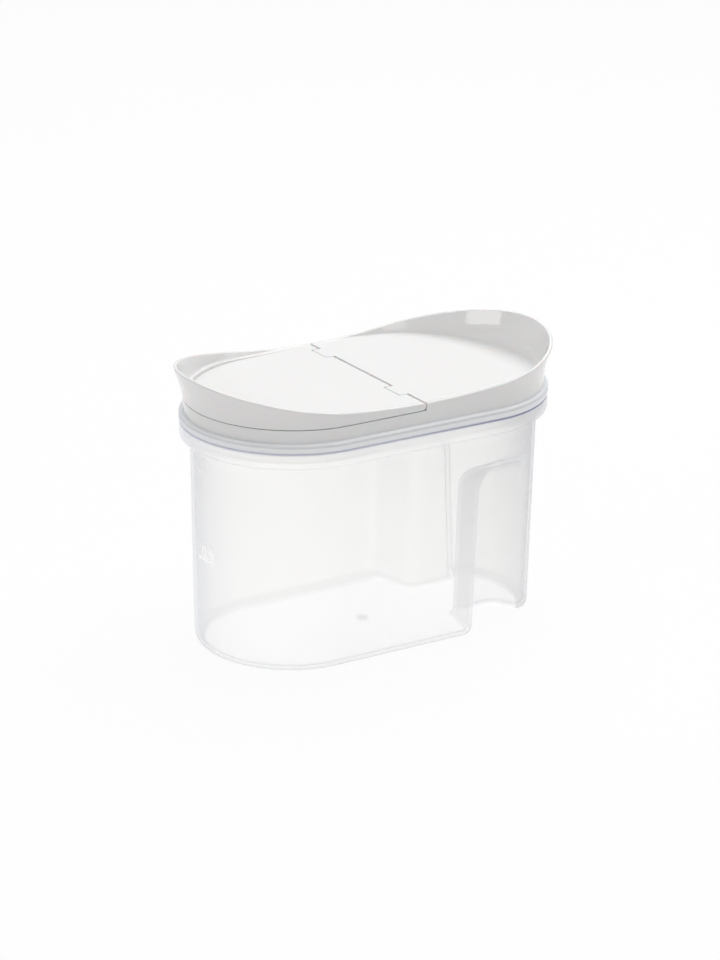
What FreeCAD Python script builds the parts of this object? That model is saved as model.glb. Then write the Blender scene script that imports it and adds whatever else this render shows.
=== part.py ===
"""A food storage box: a translucent tub with a hand grip, and a lid with a pouring flap.

Millimetres. The origin is the centre of the tub's underside, +Z is up, +X runs along the
long side to the gripped end and -Y is the front. The plan is a long round: a straight
middle with a half turn at each end.
"""
import FreeCAD, Part
import math
import os
import Sketcher

# Driving dimensions. Radii are those of the half turns, measured from their own centres.
DIMENSIONS = {
    # plan shared by every piece
    "half_straight": 39.6,
    # tub: its wall leans out up to the neck, and the collar stands out above the shoulder
    "tub_wall": 1.5,
    "tub_floor": 1.8,
    "neck_radius": 45.3,
    "neck_height": 97.6,
    "wall_lean": 2.05,
    "shoulder_rise": 1.5,
    "shoulder_round": 2.0,
    "collar_step": 4.8,
    "collar_height": 7.1,
    "rim_edge_round": 0.5,
    "base_round": 5.0,
    "gate_radius": 3.0,
    "gate_depth": 0.4,
    # hand grip, one recess in each long side; the lengths are at its foot, on the wall and bed
    "grip_length": 43.6,
    "grip_bed_length": 22.0,
    "grip_end_inset": 8.8,
    "grip_below_neck": 15.0,
    "grip_mouth_arch_round": 14.0,
    "grip_bed_arch_round": 6.5,
    "grip_near_taper": 6.0,
    "grip_top_taper": 13.2,
    "grip_near_slant": 1.8,
    "grip_far_slant": 3.8,
    "grip_half_thickness": 18.1,
    "grip_edge_round": 5.4,
    "grip_bed_round": 5.5,
    # measuring marks
    "mark_low": 46.0,
    "mark_high_below_neck": 9.6,
    "mark_length": 13.0,
    "mark_width": 1.0,
    "mark_relief": 0.35,
    # seal: a flange over the tub's rim and a lip below it
    "seal_height": 4.5,
    "seal_overhang": 0.2,
    "seal_lip_depth": 3.9,
    "seal_edge_round": 0.5,
    "seal_crown_round": 1.2,
    # lid: a foot under the seal's lip, a groove for the seal, a skirt and its flare
    "lid_foot_height": 1.2,
    "lid_foot_round": 0.4,
    "skirt_inset": 1.9,
    "skirt_height": 7.8,
    "groove_depth": 0.9,
    "seat_wall": 1.4,
    "flare_round": 33.0,
    "flare_reach": 6.8,
    "flare_rise": 20.0,
    "lid_wall": 1.7,
    "crest_above_deck": 0.1,
    "crest_low_across": 2.8,
    "crest_arc_radius": 354.0,
    "crest_round": 0.7,
    "deck_above_seal": 9.8,
    "deck_arc_radius": 485.0,
    "deck_thickness": 1.7,
    "deck_round": 1.0,
    "bulkhead_depth": 12.5,
    "land_depth": 3.75,
    # flap
    "flap_arc_radius": 1400.0,
    "well_inset": 0.6,
    "plug_wall": 1.5,
    "plug_depth": 7.9,
    "plug_end": 6.2,
    # hinge, across from the middle of the gap between the lid and the flap
    "gap_middle": 0.65,
    "hinge_gap": 0.6,
    "hinge_depth": 1.5,
    "barrel_radius": 1.7,
    "pin_radius": 0.8,
    "lug_reach": 2.3,
    "lug_depth": 2.0,
    "lug_tip_round": 0.6,
    "lug_foot_round": 1.2,
    "hook_mouth": 1.3,
    "front_lug_inset": 12.1,
    "front_lug_length": 12.5,
    "back_lug_inset": 6.6,
    "back_lug_length": 12.2,
    # clearances
    "land_clearance": 0.4,
    "pin_clearance": 0.08,
    "lug_gap": 0.4,
    "notch_gap": 0.6,
    "plug_clearance": 0.5,
    "lip_clearance": 0.3,
    "seat_clearance": 0.05,
    "overrun": 4.0,
}

doc = FreeCAD.newDocument("storage_box")
sheet = doc.addObject("Spreadsheet::Sheet", "sizes")


class Size:
    """A number together with the sheet expression that gives it."""

    def __init__(self, value, text):
        self.value = value
        self.text = text

    @staticmethod
    def of(item):
        return item if isinstance(item, Size) else Size(item, repr(item))

    def with_other(self, other, sign, value):
        return Size(value, f"({self.text} {sign} {Size.of(other).text})")

    def __add__(self, other):
        return self.with_other(other, "+", self.value + Size.of(other).value)

    def __sub__(self, other):
        return self.with_other(other, "-", self.value - Size.of(other).value)

    def __mul__(self, other):
        return self.with_other(other, "*", self.value * Size.of(other).value)

    def __truediv__(self, other):
        return self.with_other(other, "/", self.value / Size.of(other).value)

    def __neg__(self):
        return Size(-self.value, f"(-{self.text})")

    def root(self):
        return Size(math.sqrt(self.value), f"sqrt({self.text})")


class Sizes:
    """The driving dimensions, each as a Size that names its sheet cell."""


S = Sizes()
for row, (alias, value) in enumerate(DIMENSIONS.items(), start=1):
    sheet.set(f"A{row}", alias)
    sheet.set(f"B{row}", str(value))
    sheet.setAlias(f"B{row}", alias)
    setattr(S, alias, Size(value, f"{sheet.Name}.{alias}"))
doc.recompute()
ZERO = Size(0, "0")

# Radii that follow from the driving dimensions, from the tub's wall in to the flap.
S.base_radius = S.neck_radius - S.wall_lean
S.collar_radius = S.neck_radius + S.collar_step
S.seal_radius = S.collar_radius + S.seal_overhang
S.skirt_radius = S.seal_radius - S.skirt_inset
S.seat_radius = S.skirt_radius - S.groove_depth
S.bore_radius = S.seat_radius - S.seat_wall
S.well_radius = S.bore_radius - S.well_inset

# Heights that follow, from the tub up to the lid's crest and back down into the lid.
S.grip_top = S.neck_height - S.grip_below_neck
S.mark_high = S.neck_height - S.mark_high_below_neck
S.rim_height = S.neck_height + S.shoulder_rise + S.collar_height
S.seal_lip_foot = S.rim_height - S.seal_lip_depth
S.seal_top = S.rim_height + S.seal_height
S.lid_foot = S.seal_lip_foot - S.lid_foot_height
S.flare_height = S.seal_top + S.skirt_height
S.deck_height = S.seal_top + S.deck_above_seal
S.crest_low = S.deck_height + S.crest_above_deck
S.bulkhead_foot = S.deck_height - S.bulkhead_depth
S.land_height = S.deck_height - S.land_depth
S.flap_foot = S.land_height + S.land_clearance
S.plug_foot = S.deck_height - S.plug_depth
S.hinge_height = S.deck_height - S.hinge_depth
S.lug_foot = S.hinge_height - S.lug_depth

# Places that follow, along the tub for the grip and across the lid for the lugs.
S.grip_far = S.half_straight + S.neck_radius - S.grip_end_inset
S.grip_near = S.grip_far - S.grip_length
S.grip_far_taper = S.grip_length - S.grip_near_taper - S.grip_bed_length
S.front_lug_start = S.front_lug_inset - S.bore_radius
S.front_lug_end = S.front_lug_start + S.front_lug_length
S.back_lug_end = S.bore_radius - S.back_lug_inset
S.back_lug_start = S.back_lug_end - S.back_lug_length


def bind(thing, **properties):
    """Bind properties of a document object, each to a Size; two underscores stand for a dot."""
    for name, size in properties.items():
        thing.setExpression(name.replace("__", "."), size.text)


def along(start, end):
    """The unit direction from one outline corner to another, and the distance."""
    across = end[0] - start[0]
    up = end[1] - start[1]
    length = (across * across + up * up).root()
    return across / length, up / length


def tangent_points(before, corner, after, radius):
    """Where an arc of a radius that rounds a corner meets the corner's two sides."""
    back = along(corner, before)
    onward = along(corner, after)
    cosine = back[0] * onward[0] + back[1] * onward[1]
    reach = radius * ((cosine + 1) / (-cosine + 1)).root()
    first = (corner[0] + back[0] * reach, corner[1] + back[1] * reach)
    last = (corner[0] + onward[0] * reach, corner[1] + onward[1] * reach)
    turn = back[0].value * onward[1].value - back[1].value * onward[0].value
    return first, last, math.copysign(1, -turn)


def rounded(across, up, radius):
    """A corner of an outline that an arc rounds."""
    return across, up, radius


def expanded(outline):
    """Steps (point, arc radius or None, arc side) of an outline given by its corners.

    A corner is (across, up), or a rounded one.
    ("arc", across, up, radius, side) is reached by an arc instead of a straight side.
    """
    plain = [item[1:3] if item[0] == "arc" else item[:2] for item in outline]
    steps = []
    for index, item in enumerate(outline):
        if item[0] == "arc":
            steps.append((plain[index], item[3], item[4]))
        elif len(item) == 3:
            after = plain[(index + 1) % len(plain)]
            first, last, side = tangent_points(plain[index - 1], plain[index], after, item[2])
            steps.append((first, None, 0))
            steps.append((last, item[2], side))
        else:
            steps.append((item, None, 0))
    return steps


def arc_geometry(start, end, radius, side):
    """The shorter arc between two points; side is 1 where it runs anticlockwise."""
    chord = end - start
    normal = FreeCAD.Vector(-chord.y, chord.x, 0) / chord.Length
    height = math.sqrt(max(radius ** 2 - (chord.Length / 2) ** 2, 0))
    centre = start + chord / 2 + normal * height * side
    low, high = (start, end) if side > 0 else (end, start)
    angles = [math.atan2(point.y - centre.y, point.x - centre.x) for point in (low, high)]
    return Part.ArcOfCircle(Part.Circle(centre, FreeCAD.Vector(0, 0, 1), radius), *angles)


def draw(sketch, outline):
    """Draw a closed outline in a sketch, every point and radius bound to the sheet."""
    steps = expanded(outline)
    points = [FreeCAD.Vector(step[0][0].value, step[0][1].value, 0) for step in steps]
    ends = []
    for index, (point, radius, side) in enumerate(steps):
        if radius is None:
            shape = Part.LineSegment(points[index - 1], points[index])
            ends.append((sketch.addGeometry(shape, False), 1, 2))
            continue
        shape = arc_geometry(points[index - 1], points[index], radius.value, side)
        curve = sketch.addGeometry(shape, False)
        ends.append((curve, 1, 2) if side > 0 else (curve, 2, 1))
    for index, (point, radius, side) in enumerate(steps):
        curve, tail, tip = ends[index]
        following, start, finish = ends[(index + 1) % len(ends)]
        sketch.addConstraint(Sketcher.Constraint("Coincident", curve, tip, following, start))
        for kind, size, axis in (("DistanceX", point[0], -2), ("DistanceY", point[1], -1)):
            if size is ZERO:
                sketch.addConstraint(Sketcher.Constraint("PointOnObject", curve, tip, axis))
                continue
            number = sketch.addConstraint(
                Sketcher.Constraint(kind, -1, 1, curve, tip, size.value))
            sketch.setExpression(f"Constraints[{number}]", size.text)
        if radius is not None:
            number = sketch.addConstraint(Sketcher.Constraint("Radius", curve, radius.value))
            sketch.setExpression(f"Constraints[{number}]", radius.text)


def new_body(name):
    return doc.addObject("PartDesign::Body", name)


def origin_plane(body, role):
    return next(item for item in body.Origin.OriginFeatures if item.Role == role)


def new_sketch(body, name, role, outline, shift=ZERO, depth=ZERO):
    """A sketch on one of a body's origin planes, moved across it and along its normal."""
    sketch = body.newObject("Sketcher::SketchObject", name)
    sketch.AttachmentSupport = [(origin_plane(body, role), "")]
    sketch.MapMode = "FlatFace"
    bind(sketch, AttachmentOffset__Base__x=shift, AttachmentOffset__Base__z=depth)
    draw(sketch, outline)
    return sketch


def mirrored(body, name, feature, role):
    """Repeat a feature on the other side of one of the body's origin planes."""
    mirror = body.newObject("PartDesign::Mirrored", name)
    mirror.Originals = [feature]
    mirror.MirrorPlane = (origin_plane(body, role), [""])
    body.Tip = mirror
    return mirror


def long_round(name, section):
    """A body whose half section runs straight along X and turns round both ends."""
    body = new_body(name)
    run = body.newObject("PartDesign::Pad", name + "_run")
    run.Profile = new_sketch(body, name + "_run_section", "YZ_Plane", section)
    run.SideType = "Symmetric"
    bind(run, Length=S.half_straight * 2)
    turn = body.newObject("PartDesign::Revolution", name + "_turn")
    end_section = new_sketch(body, name + "_turn_section", "XZ_Plane", section, S.half_straight)
    turn.Profile = end_section
    turn.ReferenceAxis = (end_section, ["V_Axis"])
    turn.Midplane = True
    turn.Angle = 180
    doc.recompute()
    mirrored(body, name + "_run_behind", run, "XZ_Plane")
    mirrored(body, name + "_turn_beyond", turn, "YZ_Plane")
    doc.recompute()
    return body


def side_prism(name, outline, half_width):
    """A body with a side view outline, as wide on each side of the middle as given."""
    body = new_body(name)
    pad = body.newObject("PartDesign::Pad", name + "_pad")
    pad.Profile = new_sketch(body, name + "_outline", "XZ_Plane", outline)
    pad.SideType = "Symmetric"
    bind(pad, Length=half_width * 2)
    doc.recompute()
    return body


def cross_rod(name, radius, across, height, start, end):
    """A rod along Y between two places."""
    rod = doc.addObject("Part::Cylinder", name)
    rod.Placement = FreeCAD.Placement(
        FreeCAD.Vector(), FreeCAD.Rotation(FreeCAD.Vector(1, 0, 0), -90))
    bind(rod, Radius=radius, Height=end - start, Placement__Base__x=across,
         Placement__Base__y=start, Placement__Base__z=height)
    return rod


def block(name, low, high):
    """A box between two corners."""
    box = doc.addObject("Part::Box", name)
    bind(box, Length=high[0] - low[0], Width=high[1] - low[1], Height=high[2] - low[2],
         Placement__Base__x=low[0], Placement__Base__y=low[1], Placement__Base__z=low[2])
    return box


def joined(name, *pieces):
    fuse = doc.addObject("Part::MultiFuse", name)
    fuse.Shapes = list(pieces)
    fuse.Refine = True
    return fuse


def shared(name, *pieces):
    common = doc.addObject("Part::MultiCommon", name)
    common.Shapes = list(pieces)
    return common


def cut_from(name, base, *tools):
    """A piece less its tools, one cut after another."""
    for number, tool in enumerate(tools, start=1):
        cut = doc.addObject("Part::Cut", name if number == len(tools) else f"{name}_{number}")
        cut.Base = base
        cut.Tool = tool
        cut.Refine = True
        base = cut
    doc.recompute()
    return base


def edges_where(shape, test):
    """Names of the edges that pass a test at points along them, away from their ends."""
    names = []
    for number, edge in enumerate(shape.Edges, start=1):
        points = edge.discretize(5)[1:-1]
        if all(test(point) for point in points):
            names.append(f"Edge{number}")
    return names


def round_edges(body, name, radius, test):
    """Add a fillet to a body's tip on the edges that pass a test."""
    base = body.Tip
    fillet = body.newObject("PartDesign::Fillet", name)
    fillet.Base = (base, edges_where(base.Shape, test))
    bind(fillet, Radius=radius)
    body.Tip = fillet
    doc.recompute()
    return fillet


def plan_radius(point):
    """A point's distance from the plan's middle line, which ends at the end centres."""
    beyond = max(abs(point.x) - S.half_straight.value, 0)
    return math.hypot(beyond, point.y)


NEAR = 0.01


def tub_form(name, inset, floor, top):
    """The tub's outer form, or with an inset the space inside it."""
    slope = S.shoulder_rise / (S.collar_radius - S.neck_radius)
    lift = inset * ((slope * slope + 1).root() - slope)
    neck = S.neck_radius - inset
    collar = S.collar_radius - inset
    edge = rounded(collar, top, S.rim_edge_round) if inset is ZERO else (collar, top)
    body = long_round(name, [
        (ZERO, floor),
        (S.base_radius - inset, floor),
        (neck, S.neck_height + lift),
        rounded(collar, S.neck_height + S.shoulder_rise + lift, S.shoulder_round - inset),
        edge,
        (ZERO, top),
    ])
    foot = -S.overrun
    mouth = S.neck_radius + S.overrun
    bed = S.grip_half_thickness - inset
    mouth_share = (mouth - bed) / (S.neck_radius - S.grip_half_thickness)
    grown = {}
    for place, share, arch in (("mouth", mouth_share, S.grip_mouth_arch_round),
                               ("bed", ZERO, S.grip_bed_arch_round)):
        near = S.grip_near - inset + S.grip_near_taper - S.grip_near_taper * share
        far = S.grip_far + inset - S.grip_far_taper + S.grip_far_taper * share
        height = S.grip_top + inset - S.grip_top_taper + S.grip_top_taper * share
        grown[place] = [
            (near, foot),
            rounded(near + S.grip_near_slant, height, arch + inset),
            rounded(far - S.grip_far_slant, height, arch + inset),
            (far, foot),
        ]
    loft = body.newObject("PartDesign::SubtractiveLoft", name + "_grip")
    loft.Profile = new_sketch(body, name + "_grip_mouth", "XZ_Plane", grown["mouth"], depth=mouth)
    loft.Sections = [new_sketch(body, name + "_grip_bed", "XZ_Plane", grown["bed"], depth=bed)]
    loft.Ruled = True
    body.Tip = loft
    doc.recompute()
    mirrored(body, name + "_grip_behind", loft, "XZ_Plane")
    doc.recompute()

    def on_bed(point):
        return abs(abs(point.y) - bed.value) < NEAR and point.z > floor.value + NEAR

    def on_mouth(point):
        share = (point.z - floor.value) / (S.neck_height + lift - floor).value
        wall = (S.base_radius - inset).value * (1 - share) + neck.value * share
        on_wall = abs(plan_radius(point) - wall) < NEAR
        below_arch = floor.value + NEAR < point.z < (S.grip_top + inset).value
        return on_wall and below_arch and point.x > S.grip_near.value - inset.value - NEAR

    def on_foot(point):
        return abs(point.z - floor.value) < NEAR

    round_edges(body, name + "_grip_beds", S.grip_bed_round + inset, on_bed)
    round_edges(body, name + "_grip_mouths", S.grip_edge_round - inset, on_mouth)
    round_edges(body, name + "_foot_round", S.base_round - inset, on_foot)
    return body


def make_tub():
    """The tub: one moulding with its grip recesses, marks and gate spot."""
    outside = tub_form("tub_outside", ZERO, ZERO, S.rim_height)
    inside = tub_form("tub_inside", S.tub_wall, S.tub_floor, S.rim_height + S.overrun)
    raised = long_round("mark_face", [
        (ZERO, ZERO),
        (S.base_radius + S.mark_relief, ZERO),
        (S.neck_radius + S.mark_relief, S.neck_height),
        (ZERO, S.neck_height),
    ])
    end = S.half_straight + S.neck_radius
    marks = []
    for name, height in (("low", S.mark_low), ("high", S.mark_high)):
        bar = block(f"mark_{name}_bar", (-end - S.overrun, -S.mark_length / 2, height),
                    (-end + S.overrun, S.mark_length / 2, height + S.mark_width))
        marks.append(shared(f"mark_{name}", raised, bar))
    gate = doc.addObject("Part::Cylinder", "gate_spot")
    bind(gate, Radius=S.gate_radius, Height=S.gate_depth)
    marked = joined("marked_tub", outside, *marks)
    return cut_from("tub", marked, inside, gate)


def make_seal():
    """The sealing ring: a lip inside the tub and a flange that rests on its rim."""
    inner = S.seat_radius + S.seat_clearance
    lip = S.collar_radius - S.tub_wall - S.lip_clearance
    return long_round("seal", [
        (inner, S.seal_lip_foot),
        (lip, S.seal_lip_foot),
        (lip, S.rim_height),
        rounded(S.seal_radius, S.rim_height, S.seal_edge_round),
        rounded(S.seal_radius, S.seal_top, S.seal_crown_round),
        (inner, S.seal_top),
    ])


FAR = S.half_straight + S.skirt_radius + S.flare_reach
SKY = S.flare_height + S.flare_rise
DEEP = S.lid_foot - S.overrun
DECK_EDGE = S.gap_middle + S.hinge_gap / 2
HINGE = S.gap_middle - S.hinge_gap / 2 - S.barrel_radius
PLUG_RADIUS = S.bore_radius - S.plug_clearance
LUGS = (
    ("front_lug", S.front_lug_start, S.front_lug_end),
    ("back_lug", S.back_lug_start, S.back_lug_end),
)


def sagitta(radius, reach):
    """How far a circle falls away from its top at a distance to one side."""
    return radius - (radius * radius - reach * reach).root()


def flare_form(name, inset, low, foot_corners):
    """The flared outer form of the lid, or with an inset the hollow of its dish."""
    rise = S.flare_rise
    slope = S.flare_reach / rise
    lift = inset * ((slope * slope + 1).root() - 1) / slope
    radius = S.skirt_radius - inset
    return long_round(name, foot_corners + [
        (radius, low),
        rounded(radius, S.flare_height + lift, S.flare_round + inset),
        (radius + S.flare_reach, S.flare_height + rise + lift),
        (ZERO, S.flare_height + rise + lift),
    ])


def round_slug(name, radius):
    """A long round of one radius, taller than the lid at both ends."""
    return long_round(name, [
        (ZERO, DEEP),
        (radius, DEEP),
        (radius, SKY),
        (ZERO, SKY),
    ])


def lid_blank():
    """The outer form shared by the lid and the flap, under the crest's long curve.

    The crest is lowest a little way from the middle, towards the gripped end.
    """
    spigot = S.collar_radius - S.tub_wall - S.lip_clearance
    outside = flare_form("lid_outside", ZERO, S.seal_top + S.seat_clearance, [
        (ZERO, S.lid_foot),
        rounded(spigot, S.lid_foot, S.lid_foot_round),
        (spigot, S.seal_lip_foot - S.seat_clearance),
        (S.seat_radius, S.seal_lip_foot - S.seat_clearance),
        (S.seat_radius, S.seal_top + S.seat_clearance),
    ])
    crest = side_prism("crest", [
        (-FAR, DEEP),
        (FAR, DEEP),
        (FAR, S.crest_low + sagitta(S.crest_arc_radius, FAR - S.crest_low_across)),
        ("arc", -FAR, S.crest_low + sagitta(S.crest_arc_radius, FAR + S.crest_low_across),
         S.crest_arc_radius, -1),
    ], FAR)
    return shared("lid_blank", outside, crest)


def dish_over(name, floor, height_at):
    """The hollow of a dish over a floor, rounded along the foot of its wall."""
    hollow = flare_form(name + "_form", S.lid_wall, DEEP, [(ZERO, DEEP)])
    dish = new_body(name)
    dish.BaseFeature = shared(name + "_sharp", hollow, floor)
    doc.recompute()

    def along_foot(point):
        on_floor = abs(point.z - height_at(point.x)) < NEAR
        return on_floor and plan_radius(point) > S.bore_radius.value

    round_edges(dish, name + "_foot", S.deck_round, along_foot)
    return dish


def crest_rounded(name, sharp, start, end):
    """A piece of the lid with the two edges of its crest rounded between two places."""
    piece = new_body(name)
    piece.BaseFeature = sharp
    doc.recompute()

    def along_crest(point):
        reach = -S.crest_low_across + point.x
        height = (S.crest_low + sagitta(S.crest_arc_radius, reach)).value
        return abs(point.z - height) < NEAR and start.value + NEAR < point.x < end.value

    round_edges(piece, name + "_crest_round", S.crest_round, along_crest)
    return piece


def make_lid(blank):
    """The fixed part of the lid: ring, deck, bulkhead and hinge lugs."""
    top = S.deck_height
    end = top - sagitta(S.deck_arc_radius, FAR)
    floor = side_prism("deck_floor", [
        (-S.overrun, top),
        (ZERO, top),
        ("arc", FAR, end, S.deck_arc_radius, -1),
        (FAR, SKY),
        (-S.overrun, SKY),
    ], FAR)

    def height_at(across):
        return top.value - sagitta(S.deck_arc_radius, Size.of(max(across, 0))).value

    dish = dish_over("deck_dish", floor, height_at)
    under = top - S.deck_thickness
    inner = DECK_EDGE + S.deck_thickness
    start = under - sagitta(S.deck_arc_radius, inner)
    hollow_side = side_prism("lid_hollow_side", [
        (-FAR, DEEP),
        (FAR, DEEP),
        (FAR, end - S.deck_thickness),
        ("arc", inner, start, S.deck_arc_radius, 1),
        (inner, S.bulkhead_foot),
        (DECK_EDGE, S.bulkhead_foot),
        (DECK_EDGE, SKY),
        (-FAR, SKY),
    ], FAR)
    hollow = shared("lid_hollow", round_slug("lid_bore", S.bore_radius), hollow_side)
    opening = block("flap_space", (-FAR, -FAR, S.land_height), (DECK_EDGE, FAR, SKY))
    ring = cut_from("lid_ring", blank, opening, hollow, dish)
    sharp = joined("lid_sharp", ring, *[make_lug(*lug) for lug in LUGS])
    return crest_rounded("lid", sharp, DECK_EDGE, FAR)


def make_lug(name, start, end):
    """A hinge lug: a web from the deck's edge with a hook that snaps over the pin."""
    bore = S.pin_radius + S.pin_clearance
    half = S.hook_mouth / 2
    drop = (bore * bore - half * half).root()
    body = new_body(name)
    pad = body.newObject("PartDesign::Pad", name + "_pad")
    root = DECK_EDGE + S.deck_thickness
    pad.Profile = new_sketch(body, name + "_outline", "XZ_Plane", [
        (root, S.deck_height),
        rounded(HINGE - S.lug_reach, S.deck_height, S.lug_tip_round),
        rounded(HINGE - S.lug_reach, S.lug_foot, S.lug_foot_round),
        (HINGE - half, S.lug_foot),
        (HINGE - half, S.hinge_height - drop),
        ("arc", HINGE, S.hinge_height + bore, bore, -1),
        ("arc", HINGE + half, S.hinge_height - drop, bore, -1),
        (HINGE + half, S.lug_foot),
        (root, S.lug_foot),
    ], depth=-end)
    bind(pad, Length=end - start)
    doc.recompute()
    return body


def make_flap(blank):
    """The pouring flap: dished plate, plug skirt, hinge barrel and pins."""
    side = joined(
        "flap_side",
        block("flap_side_block", (-FAR, -FAR, S.flap_foot), (HINGE, FAR, SKY)),
        cross_rod("barrel", S.barrel_radius, HINGE, S.hinge_height, -FAR, FAR),
    )
    shell = shared("flap_shell", blank, side)
    plug = shared(
        "plug",
        long_round("plug_outside", [
            (ZERO, S.plug_foot),
            (PLUG_RADIUS, S.plug_foot),
            (PLUG_RADIUS, S.deck_height),
            (ZERO, S.deck_height),
        ]),
        block("plug_part", (-FAR, -FAR, DEEP), (-S.plug_end, FAR, SKY)),
    )
    top = S.deck_height
    end = top - sagitta(S.flap_arc_radius, FAR)
    floor = block("flap_floor", (-FAR, -FAR, top), (FAR, FAR, SKY))
    dish = dish_over("flap_dish", floor, lambda across: top.value)
    inside = round_slug("plug_inside", PLUG_RADIUS - S.plug_wall)
    well = shared("flap_well", round_slug("well_inside", S.well_radius),
                  side_prism("flap_well_side", [
                      (ZERO, SKY),
                      (-FAR, SKY),
                      (-FAR, end),
                      ("arc", ZERO, top, S.flap_arc_radius, -1),
                  ], FAR))
    wall_inside = S.plug_end + S.plug_wall
    under_start = top - S.deck_thickness - sagitta(S.flap_arc_radius, wall_inside)
    under = shared("plug_hollow", inside, side_prism("plug_hollow_side", [
        (-wall_inside, under_start),
        ("arc", -FAR, end - S.deck_thickness, S.flap_arc_radius, 1),
        (-FAR, DEEP),
        (-wall_inside, DEEP),
    ], FAR))
    reach = S.lug_reach + S.notch_gap
    notches = []
    pins = []
    for name, start, finish in LUGS:
        low = (HINGE - reach, start - S.lug_gap, DEEP)
        notches.append(block(f"{name}_notch", low, (FAR, finish + S.lug_gap, SKY)))
        pins.append(cross_rod(f"{name}_pin", S.pin_radius, HINGE, S.hinge_height,
                              start - S.lug_gap - S.barrel_radius,
                              finish + S.lug_gap + S.barrel_radius))
    plate = cut_from("flap_plate", joined("flap_solid", shell, plug),
                     dish, well, under, *notches)
    return crest_rounded("flap", joined("flap_sharp", plate, *pins), -FAR, HINGE)


tub = make_tub()
seal = make_seal()
blank = lid_blank()
lid = make_lid(blank)
flap = make_flap(blank)
doc.recompute()

PIECES = {"tub": tub, "lid": lid, "flap": flap, "seal": seal}
os.makedirs("parts", exist_ok=True)
for item in doc.Objects:
    if "Invalid" in item.State or "Error" in item.State:
        raise RuntimeError(f"{item.Name} did not compute: {item.State}")
for name, piece in PIECES.items():
    piece.Label = name
    if piece.Shape.isNull() or not piece.Shape.isValid():
        raise RuntimeError(f"{name} has no valid shape")
    piece.Shape.exportStep(f"parts/{name}.step")
    box = piece.Shape.BoundBox
    print(name, len(piece.Shape.Solids), round(piece.Shape.Volume), box)
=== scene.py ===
"""A food storage box in a pale studio: a milky tub with a hand grip, a seal, a lid and a flap.

Metres, in the row frame: the origin is under the middle of the tub, +Z up, +X to the gripped end.
"""

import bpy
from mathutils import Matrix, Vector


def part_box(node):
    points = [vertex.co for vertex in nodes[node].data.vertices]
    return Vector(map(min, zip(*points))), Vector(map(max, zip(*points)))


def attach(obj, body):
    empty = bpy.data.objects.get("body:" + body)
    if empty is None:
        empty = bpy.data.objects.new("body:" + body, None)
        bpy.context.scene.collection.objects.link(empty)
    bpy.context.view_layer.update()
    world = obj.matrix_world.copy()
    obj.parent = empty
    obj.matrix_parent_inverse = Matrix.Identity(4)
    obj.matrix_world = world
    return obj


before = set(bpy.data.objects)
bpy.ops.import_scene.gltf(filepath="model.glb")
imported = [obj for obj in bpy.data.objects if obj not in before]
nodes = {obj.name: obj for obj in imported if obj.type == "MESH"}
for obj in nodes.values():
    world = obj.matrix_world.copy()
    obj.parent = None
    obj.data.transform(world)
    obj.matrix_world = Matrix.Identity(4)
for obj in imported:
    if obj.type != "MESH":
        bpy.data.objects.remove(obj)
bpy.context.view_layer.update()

import math

import bmesh
import bpy
from mathutils import Matrix, Vector

scene = bpy.context.scene

# Tub
# One injection moulding of natural polypropylene, 1.5 mm thick: milky, see-through when something
# stands close behind it, and glossy outside. It is gated in the middle of its floor.


class Reading:
    """The output of a shader node; sums and products of readings add their own Math nodes."""

    def __init__(self, finish, socket):
        self.finish = finish
        self.socket = socket

    def __add__(self, other):
        return self.finish.maths("ADD", self, other)

    def __sub__(self, other):
        return self.finish.maths("SUBTRACT", self, other)

    def __rsub__(self, other):
        return self.finish.maths("SUBTRACT", other, self)

    def __mul__(self, other):
        return self.finish.maths("MULTIPLY", self, other)

    def __pow__(self, other):
        return self.finish.maths("POWER", self, other)

    def __rpow__(self, other):
        return self.finish.maths("POWER", other, self)

    __radd__ = __add__
    __rmul__ = __mul__


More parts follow.
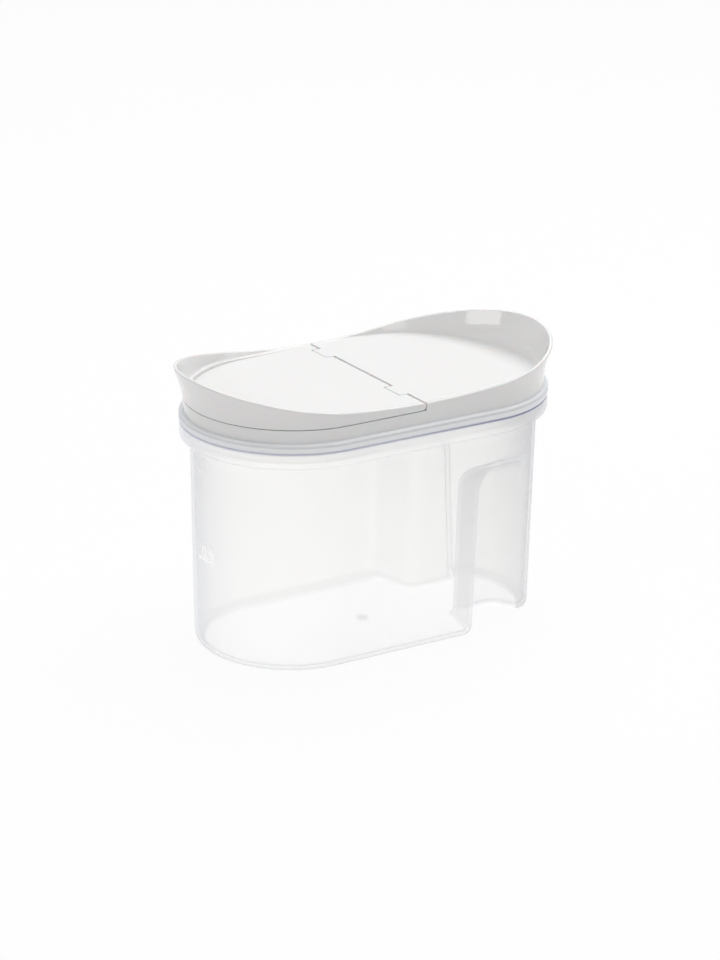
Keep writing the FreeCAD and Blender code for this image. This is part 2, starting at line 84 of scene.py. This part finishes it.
class Finish:
    """A material with one Principled shader, whose nodes all come from its node method."""

    def __init__(self, name, **constants):
        self.material = bpy.data.materials.new(name)
        self.material.use_nodes = True
        self.tree = self.material.node_tree
        self.shader = self.tree.nodes["Principled BSDF"]
        self.set(**constants)
        self.place = self.node("ShaderNodeTexCoord", {}, {}, "Object")

    def put(self, socket, value):
        if isinstance(value, Reading):
            self.tree.links.new(value.socket, socket)
        else:
            socket.default_value = value

    def coordinates(self, vector):
        """The X, Y and Z of a place."""
        split = self.node("ShaderNodeSeparateXYZ", {}, {"Vector": vector})
        return [Reading(self, output) for output in split.socket.node.outputs]

    def ramp(self, value, low, high):
        """0 up to a low value and 1 from a high one, smooth in between."""
        return self.node("ShaderNodeMapRange", {"interpolation_type": "SMOOTHSTEP"},
                         {"Value": value, "From Min": low, "From Max": high})

    def band(self, value, low, high, soft):
        """1 between two values, with soft ends."""
        rise = self.ramp(value, low - soft, low + soft)
        return rise * (1.0 - self.ramp(value, high - soft, high + soft))

    def node(self, kind, settings, sockets, output=0):
        made = self.tree.nodes.new(kind)
        for name, value in settings.items():
            setattr(made, name, value)
        for name, value in sockets.items():
            self.put(made.inputs[name], value)
        return Reading(self, made.outputs[output])

    def maths(self, operation, first, second):
        return self.node("ShaderNodeMath", {"operation": operation}, {0: first, 1: second})

    def set(self, **values):
        for name, value in values.items():
            self.put(self.shader.inputs[name.replace("_", " ")], value)

    def noise(self, scale, detail=2.0):
        return self.node("ShaderNodeTexNoise", {}, {"Vector": self.place, "Scale": scale,
                                                    "Detail": detail})

    def tinted(self, amount, plain, other):
        return self.node("ShaderNodeMix", {"data_type": "RGBA"},
                         {0: amount, 6: plain, 7: other}, 2)

    def dimmed(self, colour, share):
        return self.node("ShaderNodeVectorMath", {"operation": "SCALE"},
                         {"Vector": colour, "Scale": share})

    def raised(self, height, distance, strength=1.0):
        self.set(Normal=self.node("ShaderNodeBump", {}, {
            "Strength": strength, "Distance": distance, "Height": height}))

    def give_to(self, *pieces):
        for piece in pieces:
            piece.data.materials.clear()
            piece.data.materials.append(self.material)


half_straight = 0.0396
base_radius, neck_radius, neck_height = 0.04325, 0.0453, 0.0976
wall_lean = (neck_radius - base_radius) / neck_height
rim_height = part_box("tub")[1][2]
gate_radius = 0.003
milk_white = (0.95, 0.94, 0.915, 1.0)
edge_shade_grey = (0.55, 0.56, 0.61, 1.0)
foot_shade_grey = (0.45, 0.46, 0.48, 1.0)
rim_shade_violet = (0.30, 0.32, 0.45, 1.0)
gate_grey = (0.38, 0.39, 0.40, 1.0)
mark_white = (0.95, 0.95, 0.95, 1.0)

milky = Finish("natural_polypropylene", IOR=1.49, Emission_Strength=1.0)
edge_on = milky.node("ShaderNodeLayerWeight", {}, {"Blend": 0.5}, "Facing")
haze = milky.noise(35.0)
swirl = milky.noise(9.0, 4.0)
east, north, height = milky.coordinates(milky.place)
beyond = milky.maths("MAXIMUM", milky.maths("ABSOLUTE", east, 0.0) - half_straight, 0.0)
from_line = (beyond * beyond + north * north) ** 0.5
relief = from_line - (base_radius + height * wall_lean)
marks = milky.ramp(relief, 0.0001, 0.0002) * (1.0 - milky.ramp(height, 0.090, 0.0965))
marks = marks * milky.ramp(height, 0.040, 0.0405) * (1.0 - 0.6 * milky.ramp(height, 0.06, 0.08))
rim = milky.band(height, rim_height - 0.0007, rim_height + 0.001, 0.0003)
collar = milky.ramp(height, neck_height, neck_height + 0.002)
centre = (east * east + north * north) ** 0.5
inner_floor = 1.0 - milky.ramp(relief, -0.0056, -0.0040)
on_floor = inner_floor * (1.0 - milky.ramp(height, 0.0019, 0.0030))
gate = (1.0 - milky.ramp(centre, gate_radius - 0.0014, gate_radius + 0.0010)) * on_floor
foot = (1.0 - milky.ramp(height, 0.0032, 0.0052)) * (1.0 - on_floor)
grip_end = milky.ramp(east, 0.022, 0.055)
rightward = 0.5 + 0.5 * milky.ramp(east, -0.02, 0.05)
upward = milky.ramp(height, 0.0, rim_height)

# Painted shade: the body turns grey where the wall is seen edge-on.
body = milky.tinted(edge_on ** 1.1, milk_white, edge_shade_grey)
# Painted shade: greyer round the foot, just above the floor.
body = milky.tinted(0.35 * foot, body, foot_shade_grey)
# Painted shade: a violet dark line along the rim, half as strong at the left end and full towards
# the gripped end.
body = milky.tinted(rim * rightward, body, rim_shade_violet)
body = milky.tinted(0.8 * gate, body, gate_grey)
body = milky.tinted(0.8 * marks, body, mark_white)
# The emission is a painted glow for light carried in the milky plastic: brighter low down, on the
# floor, on the collar and on the raised marks, dimmer towards the top, the grip end and the gate,
# and held back along the rim's dark line.
painted_glow = 0.345 - 0.12 * upward - 0.15 * grip_end + 0.10 * collar
painted_glow = painted_glow + (0.66 - painted_glow) * on_floor * (1.0 - 0.7 * gate)
painted_glow = (painted_glow + 0.18 * marks) * (1.0 - 0.8 * rim * rightward)
thickness = 0.17 * (0.92 + 0.16 * swirl) + 0.42 * edge_on ** 2.5 + 0.25 * edge_on ** 8.0
thickness = thickness - 0.08 * on_floor + 0.07 * foot + 0.45 * rim + 0.16 * gate + 0.12 * marks
thickness = thickness + 0.22 * collar
milky.set(
    Base_Color=body,
    Emission_Color=milky.dimmed(body, painted_glow),
    Roughness=0.2 + 0.08 * haze,
    Alpha=thickness,
)
milky.raised(milky.noise(900.0), 0.00002, 0.12)
milky.give_to(nodes["tub"])


stroke_width, stroke_relief, stroke_root = 0.0007, 0.00035, 0.0004


def raised_strokes(name, strokes):
    """Flat ribs on the tub's left end along strokes given as (across, height) in metres."""
    mesh = bpy.data.meshes.new(name)
    shape = bmesh.new()

    def corner(across, height, out):
        radius = base_radius + height * wall_lean + out
        turn = across / neck_radius
        return shape.verts.new((-half_straight - radius * math.cos(turn),
                                -radius * math.sin(turn), height))

    for stroke in strokes:
        closed = stroke[0] == stroke[-1]
        points = [Vector(point) for point in (stroke[:-1] if closed else stroke)]
        rings = []
        for index, point in enumerate(points):
            last = index + 1 == len(points)
            before = points[index - 1] if index or closed else point
            after = point if last and not closed else points[(index + 1) % len(points)]
            first = (point - before if before != point else after - point).normalized()
            second = (after - point).normalized() if after != point else first
            normal = Vector((-(first.y + second.y), first.x + second.x)).normalized()
            reach = stroke_width / 2.0 / max(normal.dot(Vector((-first.y, first.x))), 0.5)
            left, right = point + normal * reach, point - normal * reach
            rings.append([corner(*left, -stroke_root), corner(*left, stroke_relief),
                          corner(*right, stroke_relief), corner(*right, -stroke_root)])
        spans = list(zip(rings, rings[1:] + rings[:1] if closed else rings[1:]))
        for ring, following in spans:
            for side in range(4):
                across = (side + 1) % 4
                shape.faces.new((ring[side], ring[across], following[across], following[side]))
        if not closed:
            shape.faces.new(rings[0])
            shape.faces.new(reversed(rings[-1]))
    bmesh.ops.recalc_face_normals(shape, faces=shape.faces)
    shape.to_mesh(mesh)
    shape.free()
    ribs = bpy.data.objects.new(name, mesh)
    scene.collection.objects.link(ribs)
    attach(ribs, "tub")
    milky.give_to(ribs)


def placed(shape, across, foot, wide, high):
    """A character's strokes, drawn in a unit square, at their place beside a mark."""
    return [[(across + x * wide, foot + y * high) for x, y in stroke] for stroke in shape]


zero = [[(0.3, 0.0), (0.7, 0.0), (1.0, 0.2), (1.0, 0.8), (0.7, 1.0), (0.3, 1.0), (0.0, 0.8),
         (0.0, 0.2), (0.3, 0.0)]]
point = [[(0.35, 0.05), (0.65, 0.05)]]
five = [[(0.95, 1.0), (0.1, 1.0), (0.05, 0.57), (0.6, 0.6), (0.95, 0.42), (0.95, 0.2), (0.65, 0.0),
         (0.0, 0.05)]]
one = [[(0.15, 0.8), (0.55, 1.0), (0.55, 0.0)]]
half_litre_mark, one_litre_mark = 0.046, 0.088
digit_width, point_width, digit_height, digit_foot = 0.0026, 0.0018, 0.0046, 0.0021
half_litre_foot = half_litre_mark + digit_foot
one_litre_foot = one_litre_mark + digit_foot
half_litre = (placed(zero, -0.0020, half_litre_foot, digit_width, digit_height)
              + placed(point, 0.0014, half_litre_foot, point_width, digit_height)
              + placed(five, 0.0040, half_litre_foot, digit_width, digit_height))
one_litre = placed(one, -0.0012, one_litre_foot, digit_width, digit_height)
raised_strokes("half_litre_number", half_litre)
raised_strokes("one_litre_number", one_litre)

# Seal
# A soft clear ring stretched into the groove round the lid's foot. It lies on the tub's rim, and
# its colour is also given to its emission as a painted glow. It is painted grey where seen
# edge-on, with painted shade just below its top under the lid's foot and along its seat on the
# tub's rim.

seal_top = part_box("seal")[1][2]
ring_clear, ring_edge_shade = (0.88, 0.885, 0.89, 1.0), (0.66, 0.69, 0.76, 1.0)
crown_shade_grey, seat_shade_violet = (0.45, 0.46, 0.48, 1.0), (0.34, 0.36, 0.50, 1.0)
soft = Finish("clear_elastomer", IOR=1.43, Emission_Strength=0.12)
soft_edge = soft.node("ShaderNodeLayerWeight", {}, {"Blend": 0.5}, "Facing")
seal_height = soft.coordinates(soft.place)[2]
# Painted shade: a grey band just below the seal's top, where it meets the lid's skirt.
crown_shade = soft.band(seal_height, seal_top - 0.0018, seal_top - 0.0009, 0.0006)
# Painted shade: a violet dark band where the seal sits on the tub's rim.
seat_shade = 1.0 - soft.ramp(seal_height, rim_height + 0.0001, rim_height + 0.0009)
seat_shade = seat_shade * soft.ramp(seal_height, rim_height - 0.0006, rim_height - 0.0002)
# Painted shade: the ring turns grey where it is seen edge-on.
ring = soft.tinted(soft_edge ** 2.0, ring_clear, ring_edge_shade)
ring = soft.tinted(0.6 * crown_shade, ring, crown_shade_grey)
ring = soft.tinted(0.85 * seat_shade, ring, seat_shade_violet)
soft.set(
    Base_Color=ring,
    # Painted glow: the ring's colour is also its emission.
    Emission_Color=ring,
    Roughness=0.28 + 0.1 * soft.noise(60.0),
    Alpha=0.82 + 0.15 * soft_edge,
)
soft.raised(soft.noise(1200.0), 0.00002, 0.3)
soft.give_to(nodes["seal"])

# Lid and flap
# Two mouldings of white polypropylene, with polished walls and a matt dish. The flap snaps by
# its two pins into the hooked lugs of the lid.

dish_radius, dish_height, dish_border = 0.0470, 0.1208, 0.0003
worn_white, clean_white = (0.80, 0.80, 0.795, 1.0), (0.82, 0.82, 0.815, 1.0)
white = Finish("white_polypropylene", IOR=1.5, Coat_Roughness=0.03, Subsurface_Weight=0.15,
               Subsurface_Scale=0.002)
lid_east, lid_north, lid_height = white.coordinates(white.place)
past_middle = white.maths("MAXIMUM", white.maths("ABSOLUTE", lid_east, 0.0) - half_straight, 0.0)
from_middle = (past_middle * past_middle + lid_north * lid_north) ** 0.5
dish = 1.0 - white.ramp(from_middle, dish_radius - dish_border, dish_radius + dish_border)
dish = dish * (1.0 - white.ramp(lid_height, dish_height - dish_border,
                                dish_height + dish_border))
grain = white.noise(700.0)
handling = white.noise(14.0, 5.0)
white.set(
    Base_Color=white.tinted(handling, worn_white, clean_white),
    Roughness=0.06 + 0.05 * handling + 0.40 * dish,
    Coat_Weight=0.25 * (1.0 - dish),
)
white.raised(grain, 0.000015, 0.25)
white.give_to(nodes["lid"], nodes["flap"])

# Studio
# A pale matt floor that keeps the box's shadow and is white to the camera, and a white surround.
# Softboxes hang above and in front, and a small one at the left shines in the lid's right wall.


def seen_directly(finish):
    """1 for rays that show the background: from the camera, in gloss, and through clear pieces."""
    kinds = [finish.node("ShaderNodeLightPath", {}, {}, kind)
             for kind in ("Is Camera Ray", "Is Glossy Ray", "Is Transmission Ray")]
    return finish.node("ShaderNodeMath", {"operation": "ADD", "use_clamp": True},
                       {0: kinds[0] + kinds[1], 1: kinds[2]})


def flat_sheet(name, half, height):
    mesh = bpy.data.meshes.new(name)
    shape = bmesh.new()
    corners = [shape.verts.new((x * half, y * half, height))
               for x, y in ((-1, -1), (1, -1), (1, 1), (-1, 1))]
    shape.faces.new(corners)
    shape.to_mesh(mesh)
    shape.free()
    sheet = bpy.data.objects.new(name, mesh)
    scene.collection.objects.link(sheet)
    return sheet


floor_half, floor_height = 6.0, -0.0002
floor = flat_sheet("floor", floor_half, floor_height)
floor_white, full_white = (0.92, 0.92, 0.92, 1.0), (1.0, 1.0, 1.0, 1.0)
pale = Finish("pale_floor", Base_Color=floor_white, Roughness=0.9)
plain_white = pale.node("ShaderNodeEmission", {}, {"Color": full_white, "Strength": 1.0})
blend = pale.node("ShaderNodeMixShader", {}, {
    0: 0.93 * seen_directly(pale), 1: Reading(pale, pale.shader.outputs[0]), 2: plain_white})
pale.put(pale.tree.nodes["Material Output"].inputs["Surface"], blend)
pale.give_to(floor)

scene.view_settings.view_transform = "Standard"
world = bpy.data.worlds.new("surround")
scene.world = world
world.use_nodes = True


class Surround(Finish):
    """The world's nodes, built by the same node method."""

    def __init__(self, tree):
        self.tree = tree


surround = Surround(world.node_tree)
background = world.node_tree.nodes["Background"]
surround.put(background.inputs["Strength"], 0.20 + 0.80 * seen_directly(surround))
surround.put(background.inputs["Color"], full_white)


def soft_lamp(name, place, target, width, depth, power):
    """A rectangular softbox of so many watts that faces a point."""
    light = bpy.data.lights.new(name, "AREA")
    light.shape = "RECTANGLE"
    light.size, light.size_y, light.energy = width, depth, power
    lamp = bpy.data.objects.new(name, light)
    lamp.location = place
    lamp.rotation_euler = (Vector(target) - Vector(place)).to_track_quat("-Z", "Y").to_euler()
    scene.collection.objects.link(lamp)


soft_lamp("overhead_softbox", (0.42, 0.20, 1.35), (0.0, 0.0, 0.1), 2.0, 1.8, 22.3)
soft_lamp("front_softbox", (0.7, -1.6, 0.3), (0.0, 0.0, 0.08), 1.2, 0.5, 3.6)
soft_lamp("left_softbox", (-1.25, -0.16, 0.7), (0.0, -0.16, 0.7), 0.95, 0.56, 5.0)

# Camera
# A long lens looks down on the box from its front left corner, about 1.8 metres away. The focal
# length is given in pixels of a frame that is 960 pixels high.

film, focal_pixels, frame_pixels = 36.0, 3877.8, 960.0
lens = bpy.data.cameras.new("camera")
lens.sensor_width = film
lens.lens = film * focal_pixels / frame_pixels
lens.clip_start, lens.clip_end = 0.05, 50.0
camera = bpy.data.objects.new("camera", lens)
scene.collection.objects.link(camera)
right = Vector((0.8426, -0.5384, 0.0127)).normalized()
ahead = Vector((0.5089, 0.7882, -0.3460))
ahead = (ahead - right * ahead.dot(right)).normalized()
up = right.cross(ahead)
turned = Matrix((right, up, -ahead)).transposed()
camera.matrix_world = Matrix.Translation((-0.9022, -1.3939, 0.6811)) @ turned.to_4x4()
scene.camera = camera
